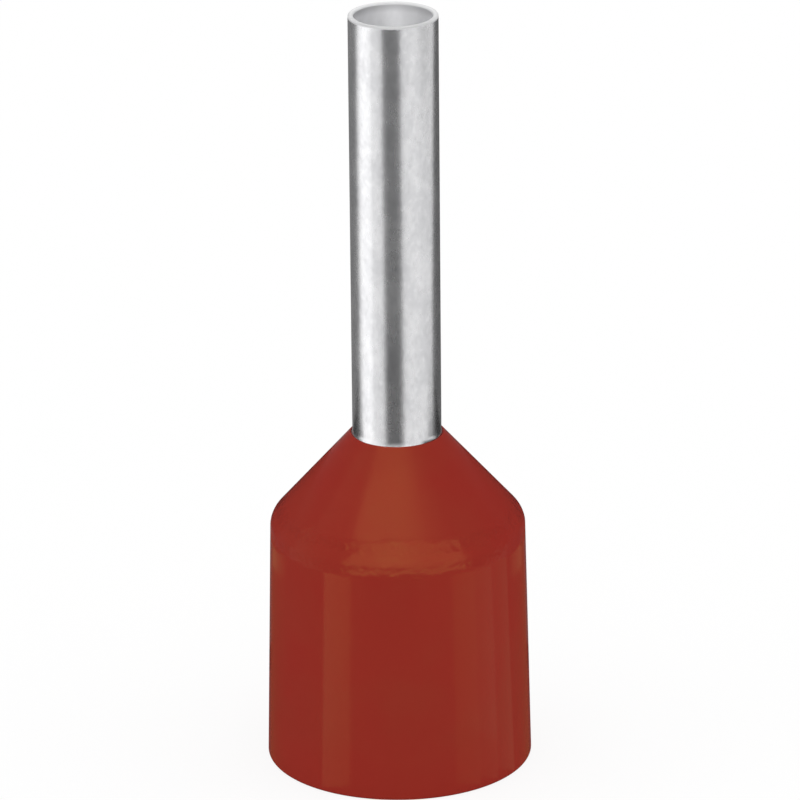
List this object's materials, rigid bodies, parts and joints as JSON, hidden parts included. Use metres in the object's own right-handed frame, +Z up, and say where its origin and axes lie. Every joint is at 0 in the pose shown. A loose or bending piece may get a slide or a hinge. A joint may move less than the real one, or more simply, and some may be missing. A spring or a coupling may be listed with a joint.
{
  "type": "wire ferrule",
  "caption": "Insulated cord-end ferrule: a thin tinned sleeve for bare strands, flared inside a moulded collar whose skirt and funnel take the wire's insulation.",
  "frame": {"origin": "centre of the collar's mouth, on the plane that it stands on", "axes": "+Z up along the common axis, from the collar's mouth to the sleeve's tip; the part is round about Z"},
  "size_m": [0.005, 0.005, 0.0143],
  "materials": {
    "tinned_copper": "gloss",
    "red_plastic": "satin"
  },
  "bodies": {
    "root": {"sleeve": "tinned_copper", "collar": "red_plastic"}
  },
  "joints": []
}
